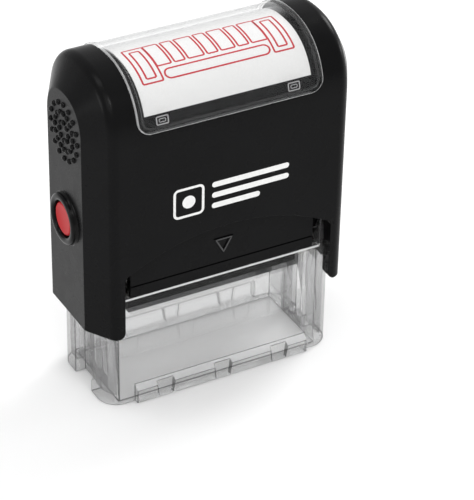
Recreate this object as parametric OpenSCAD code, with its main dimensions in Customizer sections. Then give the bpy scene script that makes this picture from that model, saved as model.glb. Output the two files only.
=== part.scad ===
// Self-inking hand stamp, free-standing, at rest on its clear frame.
// X runs along the stamp's width, -Y is its front, +Z is up, and the origin is the middle of its base.
// The case slides down over the clear frame and turns the die half a turn about the X axis.

/* [Case] */
// Width of the case across its two side facets, at shoulder height
case_w = 60.1; // [58:0.1:62]
// Depth of the case from front to back
case_d = 28.2; // [27.8:0.1:29]
// Height of the case's crest above the table, at rest
case_h = 77; // [76:0.5:80]
// Height at which the front starts to curve over to the crest
spring_z = 63; // [60:0.5:65]
// Height of the case's legs above the table, at rest
leg_z = 18.8; // [18.5:0.1:20]
// How far each side facet is set back from the case's outline
facet_inset = 6.4; // [5.5:0.1:7]
// Rounding between the front and the slanted corner
corner_r = 2.5; // [1.5:0.1:3]
// How much the sides lean out, in mm per mm of height
side_draft = 0.003; // [0:0.001:0.01]

/* [Arched cut-out] */
// Half width between the legs
cutout_half = 23.75; // [23:0.25:24]
// Height of the middle of the arch
cutout_top = 39.7; // [38:0.1:42]
// Height of the ends of the arch
cutout_shoulder = 33.2; // [31:0.1:36]

/* [Window and label] */
// Half width of the clear window
window_half = 20.75; // [20:0.05:21]
// Lower edge of the clear window
window_z = 65.3; // [64:0.1:66]
// Half width of the index label
label_half = 18.8; // [17:0.1:19]
// Lower edge of the index label
label_z = 68.5; // [67:0.1:70]

/* [Frame] */
// Half width of the clear frame
frame_half = 26.9; // [26.5:0.1:27]
// Half depth of the clear frame
frame_deep = 11.15; // [11:0.05:11.3]
// Height of the frame's front rim below the ink pad
rim_z = 25.9; // [25:0.1:26]
// Height of the frame's columns
frame_top_z = 42; // [41:0.5:43]
// Width of the channel down each side
channel_w = 7.5; // [7.5:0.1:8]

/* [Mechanism] */
// Downward travel of the case
travel = 18.3; // [18:0.1:18.3]
// Height of the die's axle at rest
axle_z = 22.3; // [22.3:0.1:22.4]
// Radius of the die's axle pins
axle_r = 1.5; // [1.4:0.05:1.5]
// Distance from the axle to the cam peg
peg_reach = 3.4; // [3.2:0.1:3.4]
// Height of the lock buttons at rest
button_z = 41.7; // [40:0.1:42.5]
// Inward travel of the lock buttons
button_travel = 1.1; // [0.9:0.1:1.1]

/* [Hidden] */
$fn = 48;

// Case outline: a superellipse arch swept along X, with rounded and slanted ends
arch_power = 2.3;
arch_steps = 44;
facet_x = case_w / 2;
slant = 31;                             // angle of the slanted corner from the side facet
corner_turn = 90 - slant;
corner_steps = 6;
slant_x = facet_x - facet_inset * tan(slant);
corner_x = slant_x - corner_r * tan(corner_turn / 2);

// Case inside
cavity_half = frame_half + 0.35;
cavity_deep = 11.75;
cavity_r = 4.9;
cavity_z = 62.5;
roof_inset = 3;
roof_half = 24.6;
pocket_half = 27.1;
rib_x = 12;
carriage_z = 66.3;
carriage_top = carriage_z + 2;

// Window, label and the recess that they share
recess_inset = 1.6;
label_back = recess_inset - 0.05;
label_inset = label_back - 0.25;
window_inset = label_inset - 0.1;
window_proud = 0.35;
window_corner_r = 3;
window_gap = 0.25;

// Frame
frame_r = 4.5;
wall = 1.5;
inner_half = 23.3;                      // inner face of the side walls
channel_x = 24.5;                       // outer face of the side walls, inside the channel
front_opening = 22.95;
foot_half = 20.25;
foot_proud = 1.2;
foot_h = 3.3;
foot_chamfer = 1;
notch_pitch = 13.5;
notch_w = 3.3;
notch_deep = 0.8;
ledge_z = 28.3;
ledge_h = 1.5;
bridge_h = 1.5;
cup_r = 7;
cup_floor = 38;

// Ink tray
tray_half = 20.2;
tray_z = 26.2;
tray_top = 34;
plate_half = 21.2;
plate_top = 41;
groove_z = 28.6;
felt_half = 19.4;
felt_deep = 7.6;
felt_z = 26.7;
felt_h = 4;

// Carriage legs
leg_in = 24.8;
leg_out = 26.8;
leg_w = 6.8;
leg_bottom = 19.5;
post_r = 3.3;
post_bottom = 57.5;

// Die
carrier_half = 20;
carrier_deep = 7.75;
carrier_z = 20.2;
carrier_h = 4.2;
cushion_h = 0.8;
die_half = 19;
die_deep = 6.75;
sheet_h = 0.6;                          // back of the text plate
relief_h = 0.4;                         // raised part of the text plate
cam_x = 20.4;
cam_w = 2.5;
cam_r = 4.6;
peg_r = 0.9;
peg_end = 24.4;
fit = 0.05;

// Lock buttons
button_r = 3.6;
button_face = 30.8;
flange_r = 4.1;
flange_x = 28.3;
bezel_bore = 3.68;
bezel_in = 29.4;
bezel_out = 31.2;
bezel_rim_r = 5.45;
bezel_foot_r = 6.4;
pocket_r = 2.4;
pocket_x = 25.3;

// Grip beads: rings, each with its radius and its number of beads
bead_r = 0.6;
bead_rings = [[2, 8], [4.05, 16], [6.05, 16]];
grip_z = 61.8;
grip_r = 6.75;

function power(v, p) = sign(v) * pow(abs(v), p);
// Points of the arch from one side to the other, starting at a given height
function arch_start(inset, from) =
    asin(pow(max(0, from - spring_z) / (case_h - inset - spring_z), arch_power / 2));
function arch_curve(inset, from) = let (first = arch_start(inset, from))
    [for (i = [0 : arch_steps]) let (a = first + (180 - 2 * first) * i / arch_steps)
        [(case_d / 2 - inset) * power(cos(a), 2 / arch_power),
         spring_z + (case_h - inset - spring_z) * power(sin(a), 2 / arch_power)]];
function arch_points(inset, bottom) = concat(arch_curve(inset, spring_z),
    [[inset - case_d / 2, bottom], [case_d / 2 - inset, bottom]]);
function backwards(list) = [for (i = [len(list) - 1 : -1 : 0]) list[i]];
// Ends of the case: how far out each slice stands and how far in its outline is set
end_profile = concat(
    [for (i = [0 : corner_steps]) let (a = corner_turn * i / corner_steps)
        [corner_x + corner_r * sin(a), corner_r * (1 - cos(a))]],
    [[facet_x, facet_inset]]);
function lean(z) = side_draft * (z - spring_z);

module along_x(length, centre = true)
    rotate([90, 0, 90]) linear_extrude(length, center = centre) children();

module along_y(length)
    rotate([90, 0, 0]) linear_extrude(length, center = true) children();

module pin_x(r, from, to)
    translate([from, 0, 0]) rotate([0, 90, 0]) cylinder(r = r, h = to - from);

module box(low, high)
    translate(low) cube(high - low);

module rounded_rect(half_x, half_y, r) {
    square([2 * (half_x - r), 2 * half_y], center = true);
    square([2 * half_x, 2 * (half_y - r)], center = true);
    for (x = [-1, 1], y = [-1, 1])
        translate([x * (half_x - r), y * (half_y - r)]) circle(r = r);
}

module arch_prism(inset, half, bottom)
    along_x(2 * half) polygon(arch_points(inset, bottom));

// A sheet that follows the arch, between two insets
module arch_band(outer, inner, half, bottom)
    along_x(2 * half) polygon(concat(arch_curve(outer, bottom), backwards(arch_curve(inner, bottom))));

// Everything on one side is drawn on the right, and turned round for the left
module on_side(side)
    if (side > 0) children(); else mirror([1, 0, 0]) children();

// ---- Case ----

// One ring of points per slice, from the left facet to the right one, joined into a closed skin
module case_block() {
    rings = concat([for (e = backwards(end_profile)) [-1, e[0], e[1]]], [for (e = end_profile) [1, e[0], e[1]]]);
    n = len(arch_points(0, leg_z));
    points = [for (ring = rings, p = arch_points(ring[2], leg_z)) [ring[0] * (ring[1] + lean(p[1])), p[0], p[1]]];
    skin = [for (i = [0 : len(rings) - 2], j = [0 : n - 1]) let (k = (j + 1) % n, low = i * n, high = low + n)
        each [[low + j, low + k, high + k], [low + j, high + k, high + j]]];
    caps = [[for (j = [n - 1 : -1 : 0]) j], [for (j = [0 : n - 1]) (len(rings) - 1) * n + j]];
    polyhedron(points, concat(skin, caps), convexity = 4);
}

module cutout_outline() {
    rise = cutout_top - cutout_shoulder;
    r = (cutout_half * cutout_half + rise * rise) / (2 * rise);
    intersection() {
        translate([-cutout_half, 0]) square([2 * cutout_half, cutout_top]);
        translate([0, cutout_top - r]) circle(r = r, $fn = 180);
    }
}

module case_cavity() {
    linear_extrude(cavity_z) rounded_rect(cavity_half, cavity_deep, cavity_r);
    // Two ribs are left standing under the roof, on top of the carriage
    difference() {
        arch_prism(roof_inset, roof_half, cavity_z - 1);
        for (side = [-1, 1])
            box([side * rib_x - 0.8, -6, carriage_top], [side * rib_x + 0.8, 6, case_h]);
    }
    box([-pocket_half, -4.2, cavity_z - 1], [pocket_half, 4.2, carriage_top + 0.1]);
}

module window_outline(half, bottom)
    translate([0, bottom + case_h / 2]) rounded_rect(half, case_h / 2, window_corner_r);

module window_sheet(outer, inner, gap) intersection() {
    arch_band(outer, inner, window_half + gap, window_z - gap);
    along_y(2 * case_d) window_outline(window_half + gap, window_z - gap);
}

module case_shell() color([0.12, 0.12, 0.13]) {
    difference() {
        case_block();
        case_cavity();
        along_y(2 * case_d) cutout_outline();
        window_sheet(-1, recess_inset, window_gap);
        for (side = [-1, 1]) on_side(side) translate([0, 0, button_z]) {
            pin_x(flange_r + 0.1, 20, 40);
            pin_x(bezel_foot_r + fit, bezel_in, 40);
        }
        for (side = [-1, 1]) on_side(side) grip_plate(fit, 5);
    }
}

module index_label() color([0.95, 0.95, 0.93]) arch_band(label_inset, label_back, label_half, label_z);

module window_cover() color([0.85, 0.88, 0.9, 0.35]) window_sheet(-window_proud, window_inset, 0);

module carriage() color([0.2, 0.2, 0.21]) {
    box([-leg_in - 0.5, -leg_w / 2, carriage_z], [leg_in + 0.5, leg_w / 2, carriage_top]);
    translate([0, 0, carriage_z]) cylinder(r = cup_r, h = carriage_top - carriage_z);
    translate([0, 0, post_bottom]) cylinder(r = post_r, h = carriage_z - post_bottom);
    for (side = [-1, 1]) on_side(side) difference() {
        box([leg_in, -leg_w / 2, leg_bottom], [leg_out, leg_w / 2, carriage_top]);
        translate([0, 0, axle_z]) pin_x(axle_r + fit, leg_in - 1, leg_out + 1);
        translate([0, 0, button_z]) pin_x(pocket_r, pocket_x, leg_out + 1);
    }
}

// ---- Side grips ----

module grip_plate(gap, thick)
    translate([facet_x + lean(grip_z) - 0.8, 0, grip_z]) rotate([0, atan(side_draft), 0])
        along_x(thick, false) circle(r = grip_r + gap);

module grip(side) color([0.16, 0.16, 0.17]) on_side(side) {
    grip_plate(0, 0.8);
    for (ring = bead_rings, i = [0 : ring[1] - 1]) let (a = 360 * i / ring[1], z = grip_z + ring[0] * cos(a))
        translate([facet_x + lean(z), ring[0] * sin(a), z]) sphere(r = bead_r, $fn = 16);
}

module left_grip() grip(-1);
module right_grip() grip(1);

// ---- Lock buttons ----

module bezel(side) color([0.1, 0.1, 0.11]) on_side(side) translate([bezel_in, 0, button_z])
    rotate([0, 90, 0]) rotate_extrude() {
        depth = bezel_out - bezel_in;
        polygon([[bezel_bore, 0], [bezel_foot_r, 0], [bezel_foot_r, 0.4], [bezel_rim_r + 0.2, 1],
            [bezel_rim_r, depth - 0.4], [bezel_rim_r - 0.4, depth], [bezel_bore + 0.5, depth],
            [bezel_bore, depth - 0.4]]);
    }

module left_bezel() bezel(-1);
module right_bezel() bezel(1);

module button(side) color([0.77, 0.2, 0.22]) on_side(side) translate([0, 0, button_z]) {
    pin_x(button_r, flange_x, button_face);
    pin_x(flange_r, flange_x, bezel_in - 0.1);
    pin_x(1.3, pocket_x + button_travel + 0.1, flange_x + 0.1);
}

module left_button() button(-1);
module right_button() button(1);

// ---- Springs ----

// A round wire wound along Z from z = 0, as one closed tube
module coil(coil_r, wire_r, length, turns, steps = 20, sides = 6) {
    count = round(turns * steps);
    rise = (length - 2 * wire_r) / count;
    points = [for (i = [0 : count], j = [0 : sides - 1])
        let (a = 360 * i / steps, b = 360 * j / sides, r = coil_r + wire_r * cos(b))
        [r * cos(a), r * sin(a), wire_r + rise * i + wire_r * sin(b)]];
    tube = [for (i = [0 : count - 1], j = [0 : sides - 1]) let (k = (j + 1) % sides)
        [i * sides + j, (i + 1) * sides + j, (i + 1) * sides + k, i * sides + k]];
    ends = [[for (j = [0 : sides - 1]) j], [for (j = [sides - 1 : -1 : 0]) count * sides + j]];
    polyhedron(points, concat(tube, ends), convexity = 10);
}

module main_spring() color("silver")
    translate([0, 0, cup_floor]) coil(4.6, 0.5, carriage_z - cup_floor, 7.5);

module button_spring(side) color("silver") on_side(side)
    translate([pocket_x, 0, button_z]) rotate([0, 90, 0]) coil(1.9, 0.17, flange_x - pocket_x, 4, 14, 5);

module left_button_spring() button_spring(-1);
module right_button_spring() button_spring(1);

// ---- Frame ----

// Path of a cam peg while the case goes down at a steady rate and the die turns half a turn
cam_path = [for (a = [0 : 7.5 : 180]) [peg_reach * cos(a), axle_z - travel * a / 180 + peg_reach * sin(a)]];
module slot_outlines() {
    offset(r = peg_r + 0.25, $fn = 24) polygon(concat(
        [for (p = cam_path) p + [0, 0.01]],
        [for (i = [len(cam_path) - 1 : -1 : 0]) cam_path[i] - [0, 0.01]]));
    translate([0, axle_z - travel / 2])
        rounded_rect(axle_r + 0.25, travel / 2 + axle_r + 0.25, axle_r + 0.24);
}

module foot(side) rotate([0, 0, side > 0 ? 180 : 0]) translate([0, -frame_deep, 0]) difference() {
    along_x(2 * foot_half) polygon([[0.5, 0], [-foot_proud + 0.3, 0], [-foot_proud, 0.3],
        [-foot_proud, foot_h], [0, foot_h + foot_chamfer], [0.5, foot_h + foot_chamfer]]);
    for (x = [-notch_pitch, 0, notch_pitch])
        translate([x, 0, 0]) hull() {
            translate([0, -foot_proud, foot_h + foot_chamfer + 0.5])
                cube([notch_w + 0.9, 2 * notch_deep, 0.1], center = true);
            translate([0, -foot_proud, 0.4]) cube([notch_w, 2 * notch_deep, 0.1], center = true);
        }
}

module clear_frame() color([0.8, 0.82, 0.84, 0.35]) {
    difference() {
        linear_extrude(frame_top_z) rounded_rect(frame_half, frame_deep, frame_r);
        box([-inner_half, wall - frame_deep, -1], [inner_half, frame_deep - wall, frame_top_z + 1]);
        box([-front_opening, -frame_deep - 1, rim_z], [front_opening, 0, frame_top_z + 1]);
        for (side = [-1, 1]) on_side(side)
            box([channel_x, -channel_w / 2, -1], [frame_half + 1, channel_w / 2, frame_top_z + 1]);
        along_x(3 * frame_half) slot_outlines();
    }
    for (side = [-1, 1]) {
        foot(side);
        on_side(side) box([tray_half + 0.8, wall - frame_deep + 0.05, ledge_z],
            [inner_half + 0.1, frame_deep - wall + 0.1, ledge_z + ledge_h]);
    }
}

module frame_bridge() color([0.15, 0.15, 0.16]) difference() {
    union() {
        translate([0, 0, frame_top_z]) linear_extrude(bridge_h) rounded_rect(frame_half, frame_deep, frame_r);
        translate([0, 0, cup_floor - 1.5]) cylinder(r = cup_r, h = frame_top_z - cup_floor + 1.6);
    }
    translate([0, 0, cup_floor]) cylinder(r = cup_r - 1.1, h = 10);
    for (side = [-1, 1]) on_side(side)
        box([channel_x, -channel_w / 2, frame_top_z - 1], [frame_half + 1, channel_w / 2, frame_top_z + 5]);
}

module arrow_outline() polygon([[-2.2, 34.8], [2.2, 34.8], [0, 31]]);

module ink_tray() color([0.13, 0.13, 0.14]) {
    difference() {
        union() {
            box([-tray_half, wall - frame_deep - 0.1, tray_z], [tray_half, 9.5, tray_top]);
            box([-plate_half, -frame_deep, tray_z], [plate_half, wall - frame_deep - 0.05, plate_top]);
        }
        box([-felt_half, -felt_deep, tray_z - 1], [felt_half, felt_deep, felt_z + felt_h]);
        box([-plate_half - 1, -frame_deep - 1, groove_z], [plate_half + 1, 0.3 - frame_deep, groove_z + 0.35]);
    }
    for (side = [-1, 1]) on_side(side)
        box([tray_half - 0.1, wall - frame_deep + 0.1, ledge_z + ledge_h], [inner_half - 0.4, 9.4, tray_top - 2]);
    // Raised arrow that shows which way the tray faces
    translate([0, -frame_deep, 0]) along_y(0.5) difference() {
        arrow_outline();
        offset(delta = -0.5) arrow_outline();
    }
}

module ink_felt() color([0.55, 0.08, 0.12])
    box([-felt_half, -felt_deep, felt_z], [felt_half, felt_deep, felt_z + felt_h]);

// ---- Die, shown at rest with its text side up against the ink ----

module die_carrier() color([0.2, 0.2, 0.21]) difference() {
    box([-carrier_half, -carrier_deep, carrier_z], [carrier_half, carrier_deep, carrier_z + carrier_h]);
    for (side = [-1, 1]) on_side(side) translate([0, 0, axle_z]) pin_x(axle_r, carrier_half - 4, carrier_half + 1);
}

module die_cushion() color([0.85, 0.83, 0.75])
    box([-die_half, -die_deep, carrier_z + carrier_h], [die_half, die_deep, carrier_z + carrier_h + cushion_h]);

// The raised part stands for a line of print: plain blocks inside a border
module die_text() color([0.55, 0.1, 0.12]) translate([0, 0, carrier_z + carrier_h + cushion_h]) {
    box([-die_half, -die_deep, 0], [die_half, die_deep, sheet_h]);
    translate([0, 0, sheet_h]) linear_extrude(relief_h) {
        difference() {
            square([2 * die_half - 1, 2 * die_deep - 1], center = true);
            square([2 * die_half - 2.4, 2 * die_deep - 2.4], center = true);
        }
        for (x = [-13 : 5.2 : 13]) translate([x, 1.6]) square([3.6, 3.4], center = true);
        translate([0, -3]) square([24, 1.6], center = true);
    }
}

module axle(side) color("silver") on_side(side) translate([0, 0, axle_z])
    pin_x(axle_r, carrier_half - 4, leg_out);

module left_axle() axle(-1);
module right_axle() axle(1);

module cam(side) color([0.85, 0.85, 0.82]) on_side(side) translate([0, 0, axle_z]) difference() {
    union() {
        pin_x(cam_r, cam_x, cam_x + cam_w);
        translate([0, peg_reach, 0]) pin_x(peg_r, cam_x + cam_w - 0.1, peg_end);
    }
    pin_x(axle_r, cam_x - 1, cam_x + cam_w + 1);
}

module left_cam() cam(-1);
module right_cam() cam(1);

clear_frame();
frame_bridge();
ink_tray();
ink_felt();
case_shell();
carriage();
index_label();
left_bezel();
right_bezel();
left_grip();
right_grip();
window_cover();
left_button();
right_button();
left_button_spring();
right_button_spring();
main_spring();
die_carrier();
die_cushion();
die_text();
left_axle();
right_axle();
left_cam();
right_cam();
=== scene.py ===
"""Looks for the self-inking stamp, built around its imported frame. Lengths are in metres."""
import math

import bmesh
import bpy
from mathutils import Matrix, Vector


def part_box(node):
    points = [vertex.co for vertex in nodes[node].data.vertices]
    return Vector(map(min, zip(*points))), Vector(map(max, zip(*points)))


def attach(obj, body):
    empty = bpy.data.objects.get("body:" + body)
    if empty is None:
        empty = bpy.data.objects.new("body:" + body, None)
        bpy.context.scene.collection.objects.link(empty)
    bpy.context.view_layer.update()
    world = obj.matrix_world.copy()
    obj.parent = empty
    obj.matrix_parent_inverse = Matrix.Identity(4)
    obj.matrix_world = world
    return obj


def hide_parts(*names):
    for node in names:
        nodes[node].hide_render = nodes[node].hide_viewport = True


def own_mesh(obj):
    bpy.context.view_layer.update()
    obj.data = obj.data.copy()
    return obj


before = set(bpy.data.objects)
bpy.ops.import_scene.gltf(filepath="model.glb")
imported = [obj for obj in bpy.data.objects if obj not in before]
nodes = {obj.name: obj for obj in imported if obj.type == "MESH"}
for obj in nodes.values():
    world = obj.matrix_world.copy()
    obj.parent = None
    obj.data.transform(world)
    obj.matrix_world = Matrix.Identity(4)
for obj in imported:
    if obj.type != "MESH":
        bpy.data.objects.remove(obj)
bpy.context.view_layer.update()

MM = 0.001
CASE_LOW, CASE_HIGH = (Vector(corner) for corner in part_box("case_shell"))
BUTTON_LOW, BUTTON_HIGH = (Vector(corner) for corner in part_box("right_button"))
TRAY_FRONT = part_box("ink_tray")[0][1]

# Case outline: a superellipse arch swept along X, with rounded and slanted ends
HALF_DEPTH = CASE_HIGH.y
CREST = CASE_HIGH.z
SPRING = 63 * MM
LEG_Z = CASE_LOW.z
ARCH_POWER = 2.3
DRAFT = 0.003
FACET_INSET = 6.4 * MM
FACET_X = CASE_HIGH.x - DRAFT * (CREST - FACET_INSET - SPRING)
SLANT = math.radians(31)
CORNER_R = 2.5 * MM

# Window, label and the recess they share, as heights above or below the case's surface
WINDOW_HALF = 20.75 * MM
WINDOW_Z = 65.3 * MM
WINDOW_R = 3 * MM
RECESS = -1.65 * MM
LABEL_BACK = -1.6 * MM
LABEL_FACE = -1.35 * MM
LABEL_HALF = 18.6 * MM
LABEL_MIDDLE = 0.2 * MM
LABEL_Z = 68.7 * MM

# Window faces: the pane itself, the rim's rounded edge and the step inside the rim; the edge and the step
# are lighter, as painted highlights
PANE_LOOK, RIM_HIGHLIGHT_LOOK, STEP_HIGHLIGHT_LOOK = range(3)

BUTTON_Z = (BUTTON_LOW.z + BUTTON_HIGH.z) / 2
BORE_R = 4.2 * MM

# Side grips: height of the middle, bead radius, and each ring's radius and number of beads
GRIP_Z = 61.8 * MM
BEAD_R = 0.6 * MM
BEAD_RINGS = ((2.0 * MM, 8), (4.05 * MM, 16), (6.05 * MM, 16))

# Clear frame: its side walls' inner face, front rim, columns' round corners and their hollows
WALL_X = 23.3 * MM
CHANNEL_Y = 4.4 * MM
RIM_Z = 25.9 * MM
FOOT_Y = 11.2 * MM
COLUMN_X = 24.6 * MM
COLUMN_Y = 3.7 * MM
CORNER_X, CORNER_Y = 22.4 * MM, 6.65 * MM
POCKET_X = (24.1 * MM, 26.2 * MM)
POCKET_Y = (4.5 * MM, 10.4 * MM)
POCKET_REACH = 4.25 * MM
# Looks of the frame's faces: clear, dark edges as painted shade, channel walls as painted shade, a white
# front rim as painted highlight, light upward faces as painted highlight, pocket and column walls as painted
# shade
CLEAR_LOOK, EDGE_SHADE_LOOK, SHADE_LOOK, FRONT_RIM_HIGHLIGHT_LOOK, UPWARD_HIGHLIGHT_LOOK, POCKET_SHADE_LOOK = range(6)


# ---------------------------------------------------------------- materials

def material(name, color, roughness, **sockets):
    """A Principled material; extra sockets are given by name, with _ for spaces."""
    mat = bpy.data.materials.new(name)
    mat.use_nodes = True
    shader = mat.node_tree.nodes["Principled BSDF"]
    shader.inputs["Base Color"].default_value = (*color, 1)
    shader.inputs["Roughness"].default_value = roughness
    for socket, value in sockets.items():
        shader.inputs[socket.replace("_", " ")].default_value = value
    return mat


def texture(mat, kind, scale, **settings):
    """A texture node in object coordinates."""
    tree = mat.node_tree
    coordinates = tree.nodes.get("Texture Coordinate") or tree.nodes.new("ShaderNodeTexCoord")
    coordinates.name = "Texture Coordinate"
    node = tree.nodes.new(kind)
    node.inputs["Scale"].default_value = scale
    for key, value in settings.items():
        node.inputs[key].default_value = value
    tree.links.new(coordinates.outputs["Object"], node.inputs["Vector"])
    return node


def add_bump(mat, source, strength, distance):
    tree = mat.node_tree
    bump = tree.nodes.new("ShaderNodeBump")
    bump.inputs["Strength"].default_value = strength
    bump.inputs["Distance"].default_value = distance
    tree.links.new(source, bump.inputs["Height"])
    tree.links.new(bump.outputs["Normal"], tree.nodes["Principled BSDF"].inputs["Normal"])


def add_ramp(mat, source, socket, low, high, start=0.3, end=0.7):
    """Drive one shader socket from a texture, between two values or colours."""
    tree = mat.node_tree
    ramp = tree.nodes.new("ShaderNodeValToRGB")
    as_color = (lambda v: (*v, 1)) if isinstance(low, tuple) else (lambda v: (v, v, v, 1))
    ramp.color_ramp.elements[0].position = start
    ramp.color_ramp.elements[0].color = as_color(low)
    ramp.color_ramp.elements[1].position = end
    ramp.color_ramp.elements[1].color = as_color(high)
    tree.links.new(source, ramp.inputs["Fac"])
    tree.links.new(ramp.outputs["Color"], tree.nodes["Principled BSDF"].inputs[socket])


def moulded(name, color, lighter, roughness, grain=0.06, specular=0.24):
    """Moulded plastic: a fine spark-eroded grain and faint flow marks."""
    mat = material(name, color, roughness, Specular_IOR_Level=specular)
    flow = texture(mat, "ShaderNodeTexNoise", 60, Detail=3)
    add_ramp(mat, flow.outputs["Fac"], "Base Color", color, lighter)
    patches = texture(mat, "ShaderNodeTexNoise", 240, Detail=4)
    add_ramp(mat, patches.outputs["Fac"], "Roughness", roughness - 0.03, roughness + 0.05)
    fine = texture(mat, "ShaderNodeTexNoise", 7000, Detail=2)
    add_bump(mat, fine.outputs["Fac"], grain, 0.02 * MM)
    return mat


def clear_plastic(name, tint, roughness, ior, facing, grazing, transmission=1.0):
    """Clear plastic: light goes straight through where it is seen square on, less so edge-on."""
    mat = material(name, tint, roughness, Transmission_Weight=transmission, IOR=ior)
    weight = mat.node_tree.nodes.new("ShaderNodeLayerWeight")
    weight.inputs["Blend"].default_value = 0.5
    add_ramp(mat, weight.outputs["Facing"], "Alpha", facing, grazing, 0.35, 0.95)
    dark = tuple(0.12 * channel for channel in tint)
    add_ramp(mat, weight.outputs["Facing"], "Base Color", tint, dark, 0.5, 0.98)
    ripple = texture(mat, "ShaderNodeTexNoise", 90, Detail=1)
    add_bump(mat, ripple.outputs["Fac"], 0.01, 0.02 * MM)
    haze = texture(mat, "ShaderNodeTexNoise", 400, Detail=3)
    add_ramp(mat, haze.outputs["Fac"], "Roughness", roughness, roughness + 0.03)
    return mat


def sheen_plastic(name, tint, roughness, facing, grazing):
    """A thin clear pane: almost nothing square on, a grey sheen edge-on."""
    mat = material(name, tint, roughness, Specular_IOR_Level=0.3)
    weight = mat.node_tree.nodes.new("ShaderNodeLayerWeight")
    weight.inputs["Blend"].default_value = 0.5
    add_ramp(mat, weight.outputs["Facing"], "Alpha", facing, grazing, 0.5, 0.95)
    haze = texture(mat, "ShaderNodeTexNoise", 400, Detail=3)
    add_ramp(mat, haze.outputs["Fac"], "Roughness", roughness, roughness + 0.05)
    return mat


def make_materials():
    mats = {
        "case": moulded("case_abs", (0.003, 0.003, 0.0032), (0.0042, 0.0042, 0.0045), 0.27, 0.01, 0.075),
        "bezel": moulded("bezel_abs", (0.003, 0.003, 0.0032), (0.004, 0.004, 0.0042), 0.16, 0.01, 0.1),
        "mechanism": moulded("mechanism_abs", (0.006, 0.006, 0.0062), (0.009, 0.009, 0.0095), 0.4, 0.1,
                             0.15),
        "grip": moulded("grip_bead", (0.002, 0.002, 0.0022), (0.003, 0.003, 0.0032), 0.14, 0.01, 0.14),
        "button": moulded("button_red", (0.37, 0.006, 0.009), (0.42, 0.009, 0.012), 0.32, 0.03, 0.08),
        "clear": clear_plastic("frame_clear", (0.6, 0.605, 0.61), 0.04, 1.25, 0.24, 0.82),
        # Dark edge look: painted shade along the frame's edges
        "frame_edge_shade": clear_plastic("frame_edge_shade", (0.06, 0.06, 0.062), 0.18, 1.4, 0.68, 0.88, 0.0),
        # Light look for upward faces: painted highlight
        "frame_upward_highlight": clear_plastic("frame_upward_highlight", (0.7, 0.705, 0.71), 0.15, 1.4, 0.45, 0.6, 0.2),
        # Darker channel walls: painted shade
        "frame_shade": clear_plastic("frame_shade", (0.15, 0.15, 0.153), 0.15, 1.3, 0.62, 0.8, 0.0),
        # Darker pocket and column walls: painted shade
        "frame_pocket_shade": clear_plastic("frame_pocket_shade", (0.3, 0.3, 0.303), 0.12, 1.3, 0.2, 0.42, 0.0),
        # White front rim: painted highlight
        "frame_rim_highlight": material("frame_rim_highlight", (0.9, 0.9, 0.9), 0.25, Alpha=0.85),
        "window": sheen_plastic("window_clear", (0.5, 0.505, 0.51), 0.05, 0.02, 0.85),
        # Lighter rim edge and inner step of the window: painted highlights
        "window_rim_highlight": clear_plastic("window_rim_highlight", (0.9, 0.905, 0.91), 0.08, 1.45, 0.45, 0.7, 0.2),
        "window_step_highlight": clear_plastic("window_step_highlight", (0.8, 0.805, 0.81), 0.08, 1.45, 0.07, 0.3, 0.3),
        # Light outlines of the clip marks: painted highlight
        "window_clip_highlight": material("window_clip_highlight", (0.4, 0.4, 0.405), 0.25, Alpha=0.75),
        # Lighter outline on the tray's arrow: painted highlight
        "tray_arrow_highlight": material("tray_arrow_highlight", (0.03, 0.03, 0.031), 0.4),
        "paper": material("label_paper", (0.8, 0.8, 0.795), 0.6),
        "print": material("label_print", (0.5, 0.008, 0.022), 0.6),
        "mark": material("front_mark", (0.82, 0.82, 0.81), 0.4),
        "felt": material("ink_felt", (0.36, 0.02, 0.04), 0.85, Sheen_Weight=0.3),
        "foam": material("cushion_foam", (0.62, 0.6, 0.52), 0.9),
        "rubber": material("die_rubber", (0.3, 0.03, 0.05), 0.6),
        "steel": material("spring_steel", (0.6, 0.6, 0.61), 0.28, Metallic=1.0),
        "acetal": moulded("cam_acetal", (0.66, 0.65, 0.6), (0.72, 0.71, 0.66), 0.4, 0.05, 0.5),
        "floor": material("floor", (0.9, 0.9, 0.9), 0.9),
    }
    fibres = texture(mats["paper"], "ShaderNodeTexNoise", 2500, Detail=5)
    add_ramp(mats["paper"], fibres.outputs["Fac"], "Base Color", (0.72, 0.72, 0.715), (0.76, 0.76, 0.755))
    add_bump(mats["paper"], fibres.outputs["Fac"], 0.1, 0.02 * MM)
    for name in ("print", "mark"):
        ink = texture(mats[name], "ShaderNodeTexNoise", 1800, Detail=3)
        base = mats[name].node_tree.nodes["Principled BSDF"].inputs["Base Color"].default_value
        low = tuple(0.93 * channel for channel in base[:3])
        add_ramp(mats[name], ink.outputs["Fac"], "Base Color", low, tuple(base[:3]))
    nap = texture(mats["felt"], "ShaderNodeTexNoise", 3000, Detail=6)
    add_ramp(mats["felt"], nap.outputs["Fac"], "Base Color", (0.24, 0.01, 0.025), (0.45, 0.03, 0.05))
    add_bump(mats["felt"], nap.outputs["Fac"], 0.5, 0.15 * MM)
    cells = texture(mats["foam"], "ShaderNodeTexVoronoi", 3500)
    add_ramp(mats["foam"], cells.outputs["Distance"], "Base Color", (0.5, 0.48, 0.42), (0.66, 0.64, 0.56))
    add_bump(mats["foam"], cells.outputs["Distance"], 0.4, 0.1 * MM)
    inked = texture(mats["rubber"], "ShaderNodeTexNoise", 900, Detail=4)
    add_ramp(mats["rubber"], inked.outputs["Fac"], "Base Color", (0.22, 0.015, 0.03), (0.4, 0.04, 0.06))
    drawn = texture(mats["steel"], "ShaderNodeTexNoise", 1500, Detail=2)
    add_ramp(mats["steel"], drawn.outputs["Fac"], "Roughness", 0.22, 0.38)
    return mats


# ---------------------------------------------------------------- the case's arch

def superellipse(angle, inset):
    """A point (y, z) of the arch: angle 0 is the front, pi the back."""
    def power(value):
        return math.copysign(abs(value) ** (2 / ARCH_POWER), value)
    return Vector((-(HALF_DEPTH - inset) * power(math.cos(angle)),
                   SPRING + (CREST - inset - SPRING) * power(math.sin(angle))))


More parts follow.
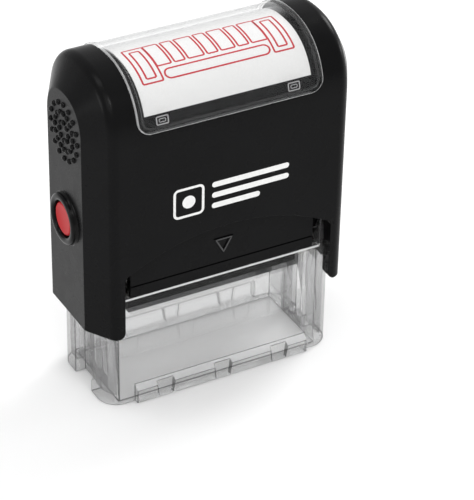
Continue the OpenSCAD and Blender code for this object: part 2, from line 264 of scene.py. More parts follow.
def measured_arch(steps=2000):
    """The arch's points with their distance from the crest along it, negative at the front."""
    points = [superellipse(math.pi * i / steps, 0) for i in range(steps + 1)]
    lengths = [0.0]
    for a, b in zip(points, points[1:]):
        lengths.append(lengths[-1] + (b - a).length)
    middle = lengths[steps // 2]
    return points, [length - middle for length in lengths]


ARCH_POINTS, ARCH_LENGTHS = measured_arch()


def arch_side(along):
    """The point and outward normal, in (y, z), at a distance along the arch from the crest."""
    reach = ARCH_LENGTHS[-1]
    if abs(along) >= reach:
        side = math.copysign(1, along)
        return Vector((side * HALF_DEPTH, SPRING - (abs(along) - reach))), Vector((side, 0))
    low, high = 0, len(ARCH_LENGTHS) - 1
    while high - low > 1:
        middle = (low + high) // 2
        if ARCH_LENGTHS[middle] <= along:
            low = middle
        else:
            high = middle
    part = (along - ARCH_LENGTHS[low]) / (ARCH_LENGTHS[high] - ARCH_LENGTHS[low])
    point = ARCH_POINTS[low].lerp(ARCH_POINTS[high], part)
    wide_low, wide_high = max(low - 8, 0), min(high + 8, len(ARCH_POINTS) - 1)
    tangent = ARCH_POINTS[wide_high] - ARCH_POINTS[wide_low]
    return point, Vector((-tangent.y, tangent.x)).normalized()


def on_arch(x, along, height):
    point, normal = arch_side(along)
    place = point + normal * height
    return Vector((x, place.x, place.y))


def along_at(z):
    """How far from the crest the front of the arch reaches a height."""
    for point, length in zip(ARCH_POINTS, ARCH_LENGTHS):
        if point.y >= z:
            return -length
    raise ValueError(f"the arch doesn't reach {z}")


# ---------------------------------------------------------------- mesh helpers

def mesh_object(name, vertices, faces):
    mesh = bpy.data.meshes.new(name)
    mesh.from_pydata([tuple(v) for v in vertices], [], faces)
    mesh.update()
    obj = bpy.data.objects.new(name, mesh)
    bpy.context.scene.collection.objects.link(obj)
    return obj


def recalculate(obj):
    work = bmesh.new()
    work.from_mesh(obj.data)
    bmesh.ops.recalc_face_normals(work, faces=work.faces)
    work.to_mesh(obj.data)
    work.free()


def smooth(obj, angle=30):
    """Smooth shading that keeps the edges sharper than an angle, in degrees."""
    obj.data.shade_smooth()
    obj.data.set_sharp_from_angle(angle=math.radians(angle))


def set_materials(obj, *mats):
    """Give a mesh its materials and keep the choice made for each face."""
    choice = [face.material_index for face in obj.data.polygons]
    obj.data.materials.clear()
    for mat in mats:
        obj.data.materials.append(mat)
    obj.data.polygons.foreach_set("material_index", choice)


def finish_piece(obj, mat, body, replaces=(), angle=30):
    """Normals, shading, materials (one or a tuple) and body for a finished piece, hiding the parts that it
    replaces.
    """
    recalculate(obj)
    smooth(obj, angle)
    set_materials(obj, *(mat if isinstance(mat, tuple) else (mat,)))
    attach(obj, body)
    if replaces:
        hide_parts(*replaces)
    return obj


def flatten_shading(obj):
    """Keep large flat faces flat to the light, next to their rounded edges."""
    modifier = obj.modifiers.new("flat faces", "WEIGHTED_NORMAL")
    modifier.keep_sharp = True
    modifier.weight = 100


def apply_modifiers(obj):
    depsgraph = bpy.context.evaluated_depsgraph_get()
    mesh = bpy.data.meshes.new_from_object(obj.evaluated_get(depsgraph))
    obj.modifiers.clear()
    old = obj.data
    obj.data = mesh
    mesh.name = obj.name
    bpy.data.meshes.remove(old)


def merge_vertices(obj, distance):
    work = bmesh.new()
    work.from_mesh(obj.data)
    bmesh.ops.remove_doubles(work, verts=work.verts, dist=distance)
    work.to_mesh(obj.data)
    work.free()


def cut(obj, *cutters):
    """Take the cutters' space out of an object."""
    for cutter in cutters:
        recalculate(cutter)
        modifier = obj.modifiers.new("cut", "BOOLEAN")
        modifier.operation = "DIFFERENCE"
        modifier.solver = "MANIFOLD"
        modifier.object = cutter
    apply_modifiers(obj)
    for cutter in cutters:
        bpy.data.objects.remove(cutter)


def bevel_edges(obj, choose, width, segments=3):
    """Round the edges that choose(edge) picks."""
    work = bmesh.new()
    work.from_mesh(obj.data)
    bmesh.ops.remove_doubles(work, verts=work.verts, dist=0.002 * MM)
    bmesh.ops.dissolve_limit(work, angle_limit=math.radians(0.2), verts=work.verts, edges=work.edges)
    picked = [edge for edge in work.edges if len(edge.link_faces) == 2 and choose(edge)]
    bmesh.ops.bevel(work, geom=picked, offset=width, offset_type="OFFSET", segments=segments, profile=0.5,
                    affect="EDGES", clamp_overlap=True)
    work.to_mesh(obj.data)
    work.free()


def bevel_modifier(obj, width, segments=3, angle=35):
    modifier = obj.modifiers.new("rounded edges", "BEVEL")
    modifier.width = width
    modifier.segments = segments
    modifier.limit_method = "ANGLE"
    modifier.angle_limit = math.radians(angle)
    modifier.use_clamp_overlap = True
    modifier.harden_normals = True


def prism(name, outline, low, high, axis):
    """A closed outline, extruded along x, y or z between two places."""
    place = {"x": lambda p, v: (v, p[0], p[1]), "y": lambda p, v: (p[0], v, p[1]),
             "z": lambda p, v: (p[0], p[1], v)}[axis]
    count = len(outline)
    vertices = [place(p, v) for v in (low, high) for p in outline]
    faces = [tuple(range(count)), tuple(range(2 * count - 1, count - 1, -1))]
    faces += [(i, (i + 1) % count, count + (i + 1) % count, count + i) for i in range(count)]
    return mesh_object(name, vertices, faces)


def arc(centre, radius, start, end, steps):
    """Points on an arc, from one angle to another in degrees."""
    angles = [math.radians(start + (end - start) * i / steps) for i in range(steps + 1)]
    return [(centre[0] + radius * math.cos(a), centre[1] + radius * math.sin(a)) for a in angles]


def rounded_outline(half_x, half_y, radius, steps=8, centre=(0, 0)):
    """A rectangle with round corners, as a closed outline."""
    points = []
    for sx, sy, start in ((1, 1, 0), (-1, 1, 90), (-1, -1, 180), (1, -1, 270)):
        corner = (centre[0] + sx * (half_x - radius), centre[1] + sy * (half_y - radius))
        points += arc(corner, radius, start, start + 90, steps)
    return points


def turned(name, profile, side, segments=96):
    """Turn a profile of (outward x, radius) about the button's axis; side is -1 or 1."""
    vertices, faces = [], []
    for x, radius in profile:
        for i in range(segments):
            angle = 2 * math.pi * i / segments
            vertices.append(Vector((side * x, radius * math.cos(angle),
                                    BUTTON_Z + radius * math.sin(angle))))
    for ring in range(len(profile) - 1):
        for i in range(segments):
            k = (i + 1) % segments
            faces.append((ring * segments + i, ring * segments + k,
                          (ring + 1) * segments + k, (ring + 1) * segments + i))
    return mesh_object(name, vertices, faces)


def grid_shell(name, columns, rows, place_out, place_in, paint=None):
    """A closed shell: an outer and an inner grid over the same columns and rows.

    paint(column, row) may choose the material index of the outer face at a place.
    """
    wide, tall = len(columns), len(rows)
    vertices = [place_out(c, r) for r in rows for c in columns]
    vertices += [place_in(c, r) for r in rows for c in columns]
    inner = wide * tall
    faces = []
    for j in range(tall - 1):
        for i in range(wide - 1):
            a = j * wide + i
            b, c, d = a + 1, a + wide + 1, a + wide
            faces += [(a, b, c, d), (inner + d, inner + c, inner + b, inner + a)]
    border = list(range(wide))
    border += [j * wide + wide - 1 for j in range(1, tall)]
    border += [(tall - 1) * wide + i for i in range(wide - 2, -1, -1)]
    border += [j * wide for j in range(tall - 2, 0, -1)]
    for a, b in zip(border, border[1:] + border[:1]):
        faces.append((a, inner + a, inner + b, b))
    shell = mesh_object(name, vertices, faces)
    if paint:
        for j in range(tall - 1):
            for i in range(wide - 1):
                outer = shell.data.polygons[2 * (j * (wide - 1) + i)]
                outer.material_index = paint((columns[i] + columns[i + 1]) / 2, (rows[j] + rows[j + 1]) / 2)
    return shell


# ---------------------------------------------------------------- window and label

def spread(low, high, near, gap):
    """Positions between two ends: close together near each end, then evenly spaced."""
    start, end = low + near[-1], high - near[-1]
    count = max(2, round((end - start) / gap))
    middle = [start + (end - start) * i / count for i in range(1, count)]
    return [low + d for d in near] + middle + [high - d for d in reversed(near)]


def rounded_distance(x, along, half_x, half_along, radius):
    """How far inside a round-cornered rectangle a point lies."""
    dx, da = abs(x) - (half_x - radius), abs(along) - (half_along - radius)
    outside = math.hypot(max(dx, 0), max(da, 0))
    return radius - outside - min(max(dx, da), 0)


EDGE_STEPS = [d * MM for d in (0, 0.04, 0.1, 0.18, 0.28, 0.4, 0.6, 0.8, 0.95, 1.05, 1.15, 1.25, 1.35, 1.5,
                               1.75, 2.0, 2.3, 2.65, 3.0)]


def window_shell(name, gap, outer, inner, paint=None):
    """The window's outline, grown by a gap; outer and inner give heights from the distance to the edge."""
    half_x, half_along, radius = WINDOW_HALF + gap, along_at(WINDOW_Z) + gap, WINDOW_R + gap
    fractions = [(x / half_x) for x in spread(-half_x, half_x, EDGE_STEPS, 2 * MM)]
    rows = spread(-half_along, half_along, EDGE_STEPS, 0.7 * MM)

    def x_at(fraction, along):
        into_corner = radius - (half_along - abs(along))
        if into_corner <= 0:
            return fraction * half_x
        narrow = radius - math.sqrt(max(radius ** 2 - into_corner ** 2, 0))
        return fraction * (half_x - narrow)

    def surface(heights):
        def place(fraction, along):
            x = x_at(fraction, along)
            return on_arch(x, along, heights(rounded_distance(x, along, half_x, half_along, radius)))
        return place

    def paint_at(fraction, along):
        return paint(rounded_distance(x_at(fraction, along), along, half_x, half_along, radius))
    return grid_shell(name, fractions, rows, surface(outer), surface(inner), paint and paint_at)


def blend_step(value, low, high):
    t = min(max((value - low) / (high - low), 0), 1)
    return t * t * (3 - 2 * t)


def window_height(distance):
    """The window's outer face: a rounded rim that stands above the pane inside it."""
    edge = 0.4 * MM
    rim, pane = 0.35 * MM, 0.02 * MM
    if distance < edge:
        return rim - edge * (1 - math.sqrt(max(1 - (1 - distance / edge) ** 2, 0)))
    return rim + (pane - rim) * blend_step(distance, 0.95 * MM, 1.35 * MM)


def window_paint(distance):
    """The rim's rounded outer edge and inner step get lighter looks: painted highlights."""
    if distance < 0.28 * MM:
        return RIM_HIGHLIGHT_LOOK
    if 0.95 * MM < distance < 1.35 * MM:
        return STEP_HIGHLIGHT_LOOK
    return PANE_LOOK


def make_window(mats):
    window = window_shell("window_pane", 0, window_height, lambda d: -1.22 * MM, window_paint)
    finish_piece(window, (mats["window"], mats["window_rim_highlight"], mats["window_step_highlight"]), "window",
                 ["window_cover"], 40)
    for side in (-1, 1):
        make_clip_highlight(side, mats)
    return window


def make_clip_highlight(side, mats):
    """A small moulded rectangle in the window's lower border, where a clip sits behind it, drawn as two
    light grey outlines: a painted highlight on its edges.
    """
    x, along = (side * 14.65 - 0.65) * MM, -(along_at(WINDOW_Z) - 2.45 * MM)
    parts = []
    for half_x, half_along, width in ((1.25, 0.8, 0.22), (0.7, 0.32, 0.14)):
        outline = rounded_outline(half_x * MM, half_along * MM, 0.2 * MM, 3, (x, along))
        parts.append(ribbon(dense(outline, 0.5 * MM), width * MM, 0.1 * MM,
                            lambda u, v, up: on_arch(u, v, 0.0 * MM + up)))
    name = "left_clip_highlight" if side < 0 else "right_clip_highlight"
    mark = join_parts(name, parts)
    return finish_piece(mark, mats["window_clip_highlight"], "window")


def make_label(mats):
    half_along = along_at(LABEL_Z)
    columns = [LABEL_MIDDLE + LABEL_HALF * (2 * i / 40 - 1) for i in range(41)]
    rows = [half_along * (2 * i / 60 - 1) for i in range(61)]
    label = grid_shell("label_sheet", columns, rows, lambda x, along: on_arch(x, along, LABEL_FACE),
                       lambda x, along: on_arch(x, along, LABEL_BACK))
    return finish_piece(label, mats["paper"], "case", ["index_label"])


def ribbon(path, width, thick, place):
    """A flat line along a closed path; place(x, y, height) puts it on a surface."""
    count = len(path)
    vertices, faces = [], []
    for i, here in enumerate(path):
        before, after = Vector(path[i - 1]), Vector(path[(i + 1) % count])
        tangent = (after - before).normalized()
        side = Vector((-tangent.y, tangent.x)) * width / 2
        left, right = Vector(here) + side, Vector(here) - side
        vertices += [place(left.x, left.y, thick), place(right.x, right.y, thick),
                     place(right.x, right.y, 0), place(left.x, left.y, 0)]
    for i in range(count):
        a, b = 4 * i, 4 * ((i + 1) % count)
        faces += [(a + k, a + (k + 1) % 4, b + (k + 1) % 4, b + k) for k in range(4)]
    return vertices, faces


def join_parts(name, parts):
    vertices, faces = [], []
    for part_vertices, part_faces in parts:
        start = len(vertices)
        vertices += part_vertices
        faces += [tuple(start + i for i in face) for face in part_faces]
    return mesh_object(name, vertices, faces)


def dense(outline, longest):
    """The outline with long stretches cut into short ones, so that it can bend over the arch."""
    points = []
    for here, there in zip(outline, outline[1:] + outline[:1]):
        parts = max(1, math.ceil((Vector(there) - Vector(here)).length / longest))
        points += [tuple(Vector(here).lerp(Vector(there), i / parts)) for i in range(parts)]
    return points


def make_imprint(mats):
    """A made-up imprint: a row of outlined blocks, tall ones at the ends, above an outlined bar."""
    line = 0.4 * MM
    height = 0.012 * MM

    def on_label(x, along, up):
        return on_arch(x, along, LABEL_FACE + up)
    outlines = []
    inner_widths = [3.1, 2.3, 3.5, 2.3, 3.1, 2.3, 3.5]
    gap = 0.75
    x = -(sum(inner_widths) + gap * (len(inner_widths) - 1)) / 2
    for width in inner_widths:
        centre = ((x + width / 2) * MM, -2.4 * MM)
        outlines.append(rounded_outline(width / 2 * MM, 3.7 * MM, 0.3 * MM, 3, centre))
        x += width + gap
    for side in (-1, 1):
        for shrink in (0, 1.15):
            outlines.append(rounded_outline((2.2 - shrink) * MM, (5.6 - shrink) * MM, 0.3 * MM, 3,
                                            (side * 14.6 * MM, -4.3 * MM)))
    outlines.append(rounded_outline(11.6 * MM, 1.25 * MM, 1.24 * MM, 10, (0, -8.6 * MM)))
    parts = [ribbon(dense(outline, 0.8 * MM), line, height, on_label) for outline in outlines]
    imprint = join_parts("label_imprint", parts)
    return finish_piece(imprint, mats["print"], "case")


# ---------------------------------------------------------------- case

def end_profile(steps=10):
    """The case's end, as how far out each slice stands and how far in its outline is set."""
    turn = math.pi / 2 - SLANT
    corner = FACET_X - FACET_INSET * math.tan(SLANT) - CORNER_R * math.tan(turn / 2)
    points = [(corner + CORNER_R * math.sin(turn * i / steps), CORNER_R * (1 - math.cos(turn * i / steps)))
              for i in range(steps + 1)]
    return points + [(FACET_X, FACET_INSET)]


def case_block():
    arch_steps = 96
    slices = [(-1, x, inset) for x, inset in reversed(end_profile())]
    slices += [(1, x, inset) for x, inset in end_profile()]
    vertices, faces = [], []
    for side, x, inset in slices:
        ring = [superellipse(math.pi * i / arch_steps, inset) for i in range(arch_steps + 1)]
        ring += [Vector((HALF_DEPTH - inset, LEG_Z)), Vector((inset - HALF_DEPTH, LEG_Z))]
        vertices += [Vector((side * (x + DRAFT * (p.y - SPRING)), p.x, p.y)) for p in ring]
    count = arch_steps + 3
    for i in range(len(slices) - 1):
        for j in range(count):
            a, b = i * count + j, i * count + (j + 1) % count
            faces.append((a, b, b + count, a + count))
    faces.append(tuple(range(count)))
    faces.append(tuple((len(slices) - 1) * count + j for j in range(count)))
    return mesh_object("case_skin", vertices, faces)


def cutout_outline():
    """The arched opening between the legs, with round upper corners and rounded leg tips."""
    half, top, shoulder = 23.75 * MM, 39.7 * MM, 33.2 * MM
    corner, tip = 1.4 * MM, 1.5 * MM
    rise = top - shoulder
    radius = (half ** 2 + rise ** 2) / (2 * rise)
    reach = math.degrees(math.asin((half - corner) / (radius - corner)))
    low = top - radius
    right = [(half + tip, LEG_Z - 5 * MM)]
    right += list(reversed(arc((half + tip, LEG_Z + tip), tip, 180, 270, 8)))
    corner_z = low + (radius - corner) * math.cos(math.radians(reach))
    right += arc((half - corner, corner_z), corner, 0, 90 - reach, 6)
    crown = arc((0, low), radius, 90 - reach, 90 + reach, 48)[1:-1]
    left = [(-x, z) for x, z in reversed(right)]
    return right + crown + left


def cavity_cutters():
    half_x, half_y, top = 27.25 * MM, 11.75 * MM, 62.5 * MM
    lower = prism("cut_cavity", rounded_outline(half_x, half_y, 4.9 * MM), -5 * MM, top, "z")
    inset, steps = 3 * MM, 48
    roof = [tuple(superellipse(math.pi * i / steps, inset)) for i in range(steps + 1)]
    roof += [(HALF_DEPTH - inset, top - 1 * MM), (inset - HALF_DEPTH, top - 1 * MM)]
    upper = prism("cut_roof", roof, -24.6 * MM, 24.6 * MM, "x")
    pocket = prism("cut_pocket", [(-27.1 * MM, top - 1.1 * MM), (27.1 * MM, top - 1.1 * MM),
                                  (27.1 * MM, 68.4 * MM), (-27.1 * MM, 68.4 * MM)], -4.2 * MM, 4.2 * MM, "y")
    return lower, upper, pocket


def make_case(mats):
    block = case_block()
    recalculate(block)
    recess = window_shell("cut_recess", 0.12 * MM, lambda d: 3 * MM, lambda d: RECESS)
    cutout = prism("cut_arch", cutout_outline(), -30 * MM, 30 * MM, "y")
    bores = []
    for side in (-1, 1):
        circle = arc((0, BUTTON_Z), BORE_R, 0, 354, 59)
        bores.append(prism("cut_bore", circle, side * 20 * MM, side * 40 * MM, "x"))
    cut(block, *cavity_cutters(), cutout, recess, *bores)

    def outside_corner(edge):
        """Edges of the cut-out, the leg tips and the facets, away from the window."""
        if edge.calc_face_angle(0) < math.radians(20):
            return False
        ends = [v.co for v in edge.verts]
        if any(p.z > 63.5 * MM and abs(p.x) < 22 * MM for p in ends):
            return False
        deep = all(abs(p.y) > 12.6 * MM or abs(p.x) > 27.6 * MM for p in ends)
        facet = all(abs(abs(p.x) - FACET_X - DRAFT * (p.z - SPRING)) < 0.02 * MM for p in ends)
        near_button = all(math.hypot(p.y, p.z - BUTTON_Z) < 6 * MM for p in ends)
        return (deep or facet) and not near_button
    bevel_edges(block, outside_corner, 0.35 * MM)
    flatten_shading(block)
    return finish_piece(block, mats["case"], "case", ["case_shell"], 32)


def make_mark(mats):
    """A plain white mark on the front: an outlined tile with a disc, and three bars."""
    front = -HALF_DEPTH
    centre_z = 47.6 * MM

    def on_front(x, z, up):
        return Vector((x, front - up, z))
    parts = []

    def plate(outline):
        count = len(outline)
        vertices = [on_front(x, z, up) for up in (0.02 * MM, -0.01 * MM) for x, z in outline]
        faces = [tuple(range(count)), tuple(range(2 * count - 1, count - 1, -1))]
        faces += [(i, (i + 1) % count, count + (i + 1) % count, count + i) for i in range(count)]
        parts.append((vertices, faces))
    tile = (-9.6 * MM, centre_z)
    border = rounded_outline(3.2 * MM, 3.2 * MM, 0.9 * MM, 6, tile)
    parts.append(ribbon(border, 0.55 * MM, 0.02 * MM, on_front))
    plate(arc(tile, 1.45 * MM, 0, 350, 35))
    for row, length in enumerate((17.6, 17.6, 11.0)):
        z = centre_z + (2.45 - 2.45 * row) * MM
        plate(rounded_outline(length / 2 * MM, 0.62 * MM, 0.6 * MM, 6, ((-4.4 + length / 2) * MM, z)))
    mark = join_parts("front_mark", parts)
    return finish_piece(mark, mats["mark"], "case")


# ---------------------------------------------------------------- side pieces

def facet_place(side, y, z, up):
    return Vector((side * (FACET_X + DRAFT * (z - SPRING) + up), y, z))


def bead_places():
    """Rings of beads about the grip's middle, as (y, z)."""
    places = []
    for radius, count in BEAD_RINGS:
        angles = [2 * math.pi * i / count for i in range(count)]
        places += [(radius * math.sin(a), GRIP_Z + radius * math.cos(a)) for a in angles]
    return places


def make_grip(side, mats):
    """The raised beads that a finger and thumb hold the case by."""
    around, rings = 20, 7
    parts = []
    for y, z in bead_places():
        vertices = [facet_place(side, y, z, 0.95 * BEAD_R)]
        for ring in range(1, rings + 1):
            angle = math.radians(112) * ring / rings
            for i in range(around):
                turn = 2 * math.pi * i / around
                vertices.append(facet_place(side, y + BEAD_R * math.sin(angle) * math.cos(turn),
                                            z + BEAD_R * math.sin(angle) * math.sin(turn),
                                            BEAD_R * math.cos(angle) - 0.05 * BEAD_R))
        faces = [(0, 1 + i, 1 + (i + 1) % around) for i in range(around)]
        for ring in range(rings - 1):
            start = 1 + ring * around
            faces += [(start + i, start + around + i, start + around + (i + 1) % around,
                       start + (i + 1) % around) for i in range(around)]
        faces.append(tuple(range(1 + (rings - 1) * around, 1 + rings * around)))
        parts.append((vertices, faces))
    name = "left_grip" if side < 0 else "right_grip"
    beads = join_parts(name + "_beads", parts)
    return finish_piece(beads, mats["grip"], "case", [name], 60)


def make_bezel(side, mats):
    """A raised collar: a flared foot, a round rim and a bore for the button."""
    out, foot = 31.2 * MM, 29.35 * MM
    bore, rim, flare = 3.7 * MM, 5.45 * MM, 6.4 * MM
    profile = [(foot, bore), (foot, flare), (foot + 0.45 * MM, flare)]
    profile += [(foot + 0.45 * MM + 0.75 * MM * (1 - math.cos(a)), flare - 0.95 * MM * math.sin(a))
                for a in (math.radians(90 * i / 6) for i in range(1, 7))]
    middle = (bore + rim) / 2 + 0.1 * MM
    half = rim - middle
    profile += [(out - half * 0.6 + half * 0.6 * math.sin(a), middle + half * math.cos(a))
                for a in (math.radians(180 * i / 14) for i in range(15))]
    profile += [(out - 1.3 * MM, bore), (foot, bore)]
    name = "left_bezel" if side < 0 else "right_bezel"
    ring = turned(name + "_collar", profile, side)
    merge_vertices(ring, 0.001 * MM)
    return finish_piece(ring, mats["bezel"], "case", [name], 40)


def make_button(side, mats):
    """The lock button: a shallow dish with a rounded edge, its flange and its stem."""
    face, back = 30.75 * MM, BUTTON_LOW.x
    radius, flange, stem = 3.6 * MM, 4.1 * MM, 1.3 * MM
    tiny = 0.001 * MM
    profile = [(back, tiny), (back, stem), (28.3 * MM, stem), (28.3 * MM, flange), (29.3 * MM, flange),
               (29.3 * MM, radius), (face - 0.5 * MM, radius)]
    profile += [(face - 0.5 * MM + 0.5 * MM * math.sin(a), radius - 0.5 * MM * (1 - math.cos(a)))
                for a in (math.radians(90 * i / 6) for i in range(1, 7))]
    profile += [(face - 0.22 * MM * (1 - (r / 3.1) ** 2), r * MM) for r in (2.95, 2.6, 2.2, 1.7, 1.0, 0.4)]
    profile.append((face - 0.22 * MM, tiny))
    name = "left_button" if side < 0 else "right_button"
    cap = turned(name + "_cap", profile, side)
    merge_vertices(cap, 0.004 * MM)
    return finish_piece(cap, mats["button"], name, [name], 35)


def coil(name, origin, axis, coil_r, wire_r, length, turns, ground=0.75):
    """A compression spring whose first and last turns lie close together."""
    rotation = Vector((0, 0, 1)).rotation_difference(Vector(axis)).to_matrix()
    steps, sides = 36, 10
    total = round(turns * steps)

    def rise(part):
        end = ground / turns
        flat = 2 * wire_r * ground
        if part < end:
            return flat * part / end
        if part > 1 - end:
            return length - 2 * wire_r - flat * (1 - part) / end
        return flat + (length - 2 * wire_r - 2 * flat) * (part - end) / (1 - 2 * end)
    vertices, faces = [], []
    for i in range(total + 1):
        angle = 2 * math.pi * i / steps
        for j in range(sides):
            b = 2 * math.pi * j / sides
            r = coil_r + wire_r * math.cos(b)
            local = Vector((r * math.cos(angle), r * math.sin(angle),
                            wire_r + rise(i / total) + wire_r * math.sin(b)))
            vertices.append(Vector(origin) + rotation @ local)
    for i in range(total):
        for j in range(sides):
            k = (j + 1) % sides
            faces.append((i * sides + j, (i + 1) * sides + j, (i + 1) * sides + k, i * sides + k))
    faces.append(tuple(range(sides)))
    faces.append(tuple(total * sides + j for j in range(sides)))
    return mesh_object(name, vertices, faces)


def make_springs(mats):
    low, high = (Vector(corner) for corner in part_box("main_spring"))
    length = high.z - low.z
    spring = coil("main_spring_coil", (0, 0, low.z), (0, 0, 1), 4.6 * MM, 0.5 * MM, length, 7.5)
    finish_piece(spring, mats["steel"], "frame", ["main_spring"], 60)
    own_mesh(spring)
    for side, name in ((-1, "left_button"), (1, "right_button")):
        box = [Vector(corner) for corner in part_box(name + "_spring")]
        inner = min(abs(box[0].x), abs(box[1].x))
        length = abs(box[1].x - box[0].x)
        anchor = (side * inner, 0, BUTTON_Z)
        small = coil(name + "_coil", anchor, (side, 0, 0), 1.9 * MM, 0.17 * MM, length, 4)
        finish_piece(small, mats["steel"], "case", [name + "_spring"], 60)
        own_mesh(small)


# ---------------------------------------------------------------- clear frame

def column_pocket(side, end):
    """The hollow inside one corner column, with its outer corner cut away."""
    low_x, high_x, low_y, high_y = 24.15, 26.1, 4.6, 10.35
    outline = [(low_x, low_y), (high_x, low_y), (high_x, 7.3), (25.5, 8.9), (24.9, 9.8), (low_x, high_y)]
    points = [(side * x * MM, end * y * MM) for x, y in outline]
    return prism("cut_column", points, 2.4 * MM, 50 * MM, "z")


def in_column_pocket(place):
    """Whether a place is on the hollow's walls, which stay inside the column's round corner."""
    x, y = abs(place.x), abs(place.y)
    from_corner = math.hypot(max(x - CORNER_X, 0), max(y - CORNER_Y, 0))
    within = POCKET_X[0] < x < POCKET_X[1] and POCKET_Y[0] < y < POCKET_Y[1]
    return within and from_corner < POCKET_REACH


def frame_edge_wanted(edge):
    """Long sharp edges and the base's outline, but not cam slots, notch floors or the columns' hollows."""
    if len(edge.link_faces) != 2 or edge.calc_face_angle(0) < math.radians(48):
        return False
    middle = (edge.verts[0].co + edge.verts[1].co) / 2
    near_slot = abs(middle.y) < COLUMN_Y and abs(middle.x) > 23 * MM and middle.z > 0.5 * MM
    notch_floor = abs(middle.y) > FOOT_Y and 0.2 * MM < middle.z < 0.5 * MM
    wanted = edge.calc_length() > 0.9 * MM or middle.z < 0.01 * MM
    return wanted and not (in_column_pocket(middle) or near_slot or notch_floor)


def on_side_wall(place):
    return abs(abs(place.x) - WALL_X) < 0.05 * MM


def frame_look(face):
    """The look of one face of the bevelled frame, from its place and the look that it has so far: painted
    shade on channel, pocket and column walls and on the foot's notch sides, a painted highlight on upward
    bevels and the foot's chamfer.
    """
    centre, look = face.calc_center_median(), face.material_index
    in_pocket = in_column_pocket(centre)
    on_channel = on_side_wall(centre) and abs(centre.y) < CHANNEL_Y
    on_column = abs(centre.x) > COLUMN_X and abs(centre.y) > COLUMN_Y
    on_foot = abs(centre.y) > FOOT_Y
    chamfer = on_foot and centre.z > 3.2 * MM
    notch_side = on_foot and abs(face.normal.x) > 0.8 and abs(centre.x) < 20 * MM
    # Pocket, column and channel walls take darker looks: painted shade.
    if look == CLEAR_LOOK and centre.z > 2.3 * MM and (in_pocket or on_column or on_channel):
        look = SHADE_LOOK if on_channel else POCKET_SHADE_LOOK
    # Upward edge bevels and the foot's chamfer take the light look: a painted highlight.
    elif look == EDGE_SHADE_LOOK and face.normal.z > 0.3 or look == CLEAR_LOOK and chamfer:
        look = UPWARD_HIGHLIGHT_LOOK
    # The sides of the foot's notches take the dark edge look: painted shade for the black case seen in them.
    return EDGE_SHADE_LOOK if look in (CLEAR_LOOK, UPWARD_HIGHLIGHT_LOOK) and notch_side else look


def make_frame(mats):
    """The clear frame with hollow columns, with painted shade on its edges, notch sides and channel walls
    and painted highlights on its rim and upward faces.
    """
    shell = bpy.data.objects.new("frame_clear", nodes["clear_frame"].data.copy())
    bpy.context.scene.collection.objects.link(shell)
    merge_vertices(shell, 0.002 * MM)
    pockets = [column_pocket(side, end) for side in (-1, 1) for end in (-1, 1)]
    cut(shell, *pockets)
    work = bmesh.new()
    work.from_mesh(shell.data)
    bmesh.ops.remove_doubles(work, verts=work.verts, dist=0.002 * MM)
    bmesh.ops.dissolve_limit(work, angle_limit=math.radians(0.5), verts=work.verts, edges=work.edges)
    for face in work.faces:
        face.material_index = CLEAR_LOOK
    for y in (-CHANNEL_Y, CHANNEL_Y):
        inner = [face for face in work.faces if on_side_wall(face.calc_center_median())]
        geometry = list({edge for face in inner for edge in face.edges}) + inner
        geometry += list({vertex for face in inner for vertex in face.verts})
        bmesh.ops.bisect_plane(work, geom=geometry, plane_co=(0, y, 0), plane_no=(0, 1, 0))
    # The front rim's top edge is bevelled with a white face: a painted highlight.
    rim = [edge for edge in work.edges if all(abs(v.co.z - RIM_Z) < 0.01 * MM and v.co.y < -11 * MM
                                              for v in edge.verts)]
    bmesh.ops.bevel(work, geom=rim, offset=0.27 * MM, offset_type="OFFSET", segments=1, affect="EDGES",
                    clamp_overlap=True, material=FRONT_RIM_HIGHLIGHT_LOOK)
    # Long sharp edges are bevelled with dark faces: painted shade for the dark lines along the clear
    # plastic's edges.
    sharp = [edge for edge in work.edges if frame_edge_wanted(edge)]
    bmesh.ops.bevel(work, geom=sharp, offset=0.2 * MM, offset_type="OFFSET", segments=2, profile=0.5,
                    affect="EDGES", clamp_overlap=False, material=EDGE_SHADE_LOOK)
    for face in work.faces:
        face.material_index = frame_look(face)
    work.to_mesh(shell.data)
    work.free()
    looks = tuple(mats[name] for name in ("clear", "frame_edge_shade", "frame_shade", "frame_rim_highlight", "frame_upward_highlight",
                                          "frame_pocket_shade"))
    flatten_shading(shell)
    return finish_piece(shell, looks, "frame", ["clear_frame"], 25)


def make_tray_arrow(mats):
    """A painted highlight: a lighter outline on the tray's raised arrow, where its edges catch the light."""
    front = TRAY_FRONT - 0.001 * MM

    def on_tray(x, z, up):
        return Vector((x, front - up, z))
    outline = [(0, 31.4 * MM), (1.8 * MM, 34.55 * MM), (-1.8 * MM, 34.55 * MM)]
    arrow = join_parts("tray_arrow", [ribbon(dense(outline, 0.5 * MM), 0.3 * MM, 0.02 * MM, on_tray)])
    return finish_piece(arrow, mats["tray_arrow_highlight"], "frame")


# ---------------------------------------------------------------- carried-over solids

def dress_nodes(mats):
    """Materials and rounded edges for the CAD solids that stay."""
    looks = {
        "frame_bridge": ("mechanism", 0.2), "ink_tray": ("case", 0.18),
        "ink_felt": ("felt", 0.3), "carriage": ("mechanism", 0.2), "die_carrier": ("mechanism", 0.3),
        "die_cushion": ("foam", 0.1), "die_text": ("rubber", 0.06), "left_axle": ("steel", 0.15),
        "right_axle": ("steel", 0.15), "left_cam": ("acetal", 0.15), "right_cam": ("acetal", 0.15),
    }
    for name, (key, width) in looks.items():
        node = nodes[name]
        node.data.materials.clear()
        node.data.materials.append(mats[key])
        node.data.shade_smooth()
        bevel_modifier(node, width * MM)


# ---------------------------------------------------------------- stage

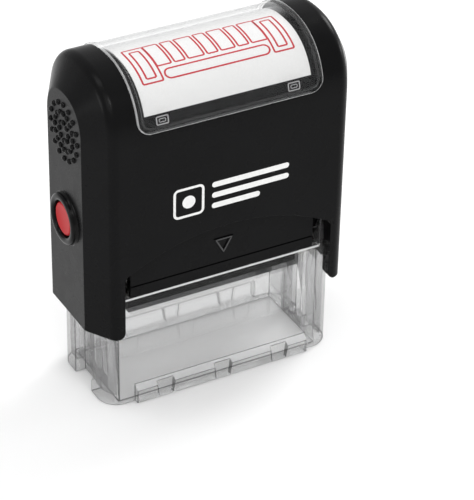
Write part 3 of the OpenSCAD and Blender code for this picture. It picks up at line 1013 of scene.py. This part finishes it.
def area_light(name, place, target, size, power, color=(1, 1, 1)):
    light = bpy.data.lights.new(name, "AREA")
    light.shape = "RECTANGLE"
    light.size, light.size_y = size
    light.energy = power
    light.color = color
    obj = bpy.data.objects.new(name, light)
    obj.location = place
    direction = Vector(target) - Vector(place)
    obj.rotation_euler = direction.to_track_quat("-Z", "Y").to_euler()
    bpy.context.scene.collection.objects.link(obj)
    return obj


def make_stage(mats):
    half = 3.0
    low = -0.05 * MM
    corners = [(-half, -half, low), (half, -half, low), (half, half, low), (-half, half, low)]
    floor = mesh_object("floor", corners, [(0, 1, 2, 3)])
    floor.data.materials.append(mats["floor"])
    world = bpy.data.worlds.new("studio")
    bpy.context.scene.world = world
    world.use_nodes = True
    background = world.node_tree.nodes["Background"]
    background.inputs["Color"].default_value = (1, 1, 1, 1)
    background.inputs["Strength"].default_value = 0.7
    middle = (0, 0, 0.04)
    area_light("key", (0.75, 0.3, 0.6), middle, (0.4, 0.4), 4.5)
    area_light("top", (-0.25, 0.1, 0.9), middle, (0.25, 0.5), 1.5)
    area_light("front", (-0.3, -0.6, 0.75), middle, (0.6, 0.5), 1.6)
    area_light("corner", (0.02, -0.55, 0.72), middle, (0.16, 0.16), 1.2)
    area_light("left_edge", (-0.88, 0.05, 0.26), middle, (0.3, 0.25), 1.4)
    area_light("right_edge", (0.88, -0.05, 0.2), middle, (0.25, 0.2), 1.2)
    bpy.context.scene.view_settings.view_transform = "Standard"


def make_camera():
    """The camera stands at the left front, above the stamp."""
    azimuth, elevation, roll = math.radians(-29.309), math.radians(33.355), math.radians(1.2475)
    distance = 522.919 * MM
    target = Vector((9.504, 0, 22.189)) * MM
    back = Vector((math.sin(azimuth) * math.cos(elevation), -math.cos(azimuth) * math.cos(elevation),
                   math.sin(elevation)))
    right = Vector((0, 0, 1)).cross(back).normalized()
    up = back.cross(right)
    right, up = (right * math.cos(roll) + up * math.sin(roll), up * math.cos(roll) - right * math.sin(roll))
    data = bpy.data.cameras.new("camera")
    data.sensor_width = 36
    data.lens = 177.95
    data.clip_start, data.clip_end = 0.05, 20
    camera = bpy.data.objects.new("camera", data)
    place = target + back * distance
    camera.matrix_world = Matrix(((right.x, up.x, back.x, place.x), (right.y, up.y, back.y, place.y),
                                  (right.z, up.z, back.z, place.z), (0, 0, 0, 1)))
    bpy.context.scene.collection.objects.link(camera)
    bpy.context.scene.camera = camera


def build():
    mats = make_materials()
    make_camera()
    make_stage(mats)
    make_case(mats)
    make_window(mats)
    make_label(mats)
    make_imprint(mats)
    make_mark(mats)
    for side in (-1, 1):
        make_grip(side, mats)
        make_bezel(side, mats)
        make_button(side, mats)
    make_springs(mats)
    make_frame(mats)
    make_tray_arrow(mats)
    dress_nodes(mats)


build()
